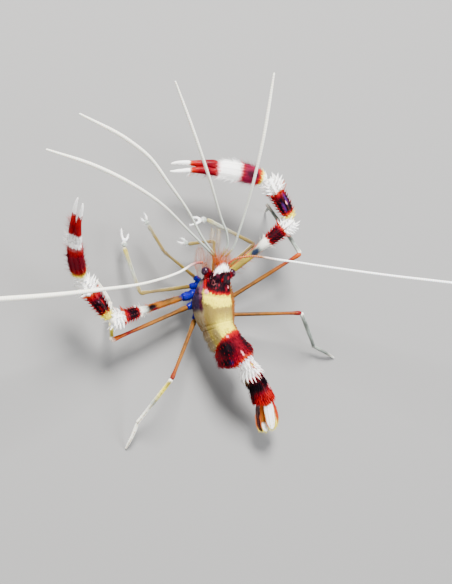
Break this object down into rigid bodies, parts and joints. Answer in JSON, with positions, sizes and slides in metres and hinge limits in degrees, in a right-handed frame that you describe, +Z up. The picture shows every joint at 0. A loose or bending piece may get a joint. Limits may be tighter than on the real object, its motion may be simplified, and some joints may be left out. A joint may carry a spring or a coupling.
{
  "type": "banded coral shrimp",
  "caption": "Life-size still model of a banded coral shrimp, a cleaner shrimp of coral reefs, standing with its long claws spread and its feelers out.",
  "frame": {"origin": "on the floor, below the middle of the animal's box", "axes": "+Z up, -Y the way the head points, +X the animal's left side"},
  "size_m": [0.1832, 0.103, 0.0422],
  "materials": {
    "clear_shell": "satin, half clear cream shell with red marks",
    "red_shell": "satin deep red shell",
    "white_shell": "satin milky white shell",
    "amber_shell": "satin, half clear orange shell",
    "blue_shell": "satin bright blue shell",
    "eye": "glossy black",
    "feeler": "satin white"
  },
  "bodies": {
    "root": {"antenna_base_left": "amber_shell", "antenna_base_right": "amber_shell", "antenna_left_feeler": "feeler", "antenna_right_feeler": "feeler", "antennal_scale_left": "amber_shell", "antennal_scale_right": "amber_shell", "antennule_base_left": "amber_shell", "antennule_base_right": "amber_shell", "antennule_left_inner_feeler": "feeler", "antennule_left_outer_feeler": "feeler", "antennule_right_inner_feeler": "feeler", "antennule_right_outer_feeler": "feeler", "carapace": "clear_shell", "eye_left": "eye", "eye_right": "eye", "eyestalk_left": "amber_shell", "eyestalk_right": "amber_shell", "leg1_left_arm": "amber_shell", "leg1_left_pincer": "white_shell", "leg1_right_arm": "amber_shell", "leg1_right_pincer": "white_shell", "leg2_left_arm": "amber_shell", "leg2_left_pincer": "white_shell", "leg2_right_arm": "amber_shell", "leg2_right_pincer": "white_shell", "leg3_left_arm": "red_shell", "leg3_left_finger": "white_shell", "leg3_left_palm": "red_shell", "leg3_left_wrist": "red_shell", "leg3_right_arm": "red_shell", "leg3_right_finger": "white_shell", "leg3_right_palm": "red_shell", "leg3_right_wrist": "red_shell", "leg4_left_foot": "white_shell", "leg4_left_lower": "white_shell", "leg4_left_upper": "amber_shell", "leg4_right_foot": "white_shell", "leg4_right_lower": "white_shell", "leg4_right_upper": "amber_shell", "leg5_left_foot": "white_shell", "leg5_left_lower": "white_shell", "leg5_left_upper": "amber_shell", "leg5_right_foot": "white_shell", "leg5_right_lower": "white_shell", "leg5_right_upper": "amber_shell", "leg_bases": "blue_shell", "maxilliped_left": "amber_shell", "maxilliped_right": "amber_shell", "somite_1": "clear_shell", "somite_2": "clear_shell", "somite_3": "red_shell", "somite_4": "white_shell", "somite_5": "red_shell", "somite_6": "red_shell", "telson": "white_shell", "uropod_inner_left": "white_shell", "uropod_inner_right": "white_shell", "uropod_outer_left": "amber_shell", "uropod_outer_right": "amber_shell"}
  },
  "joints": []
}
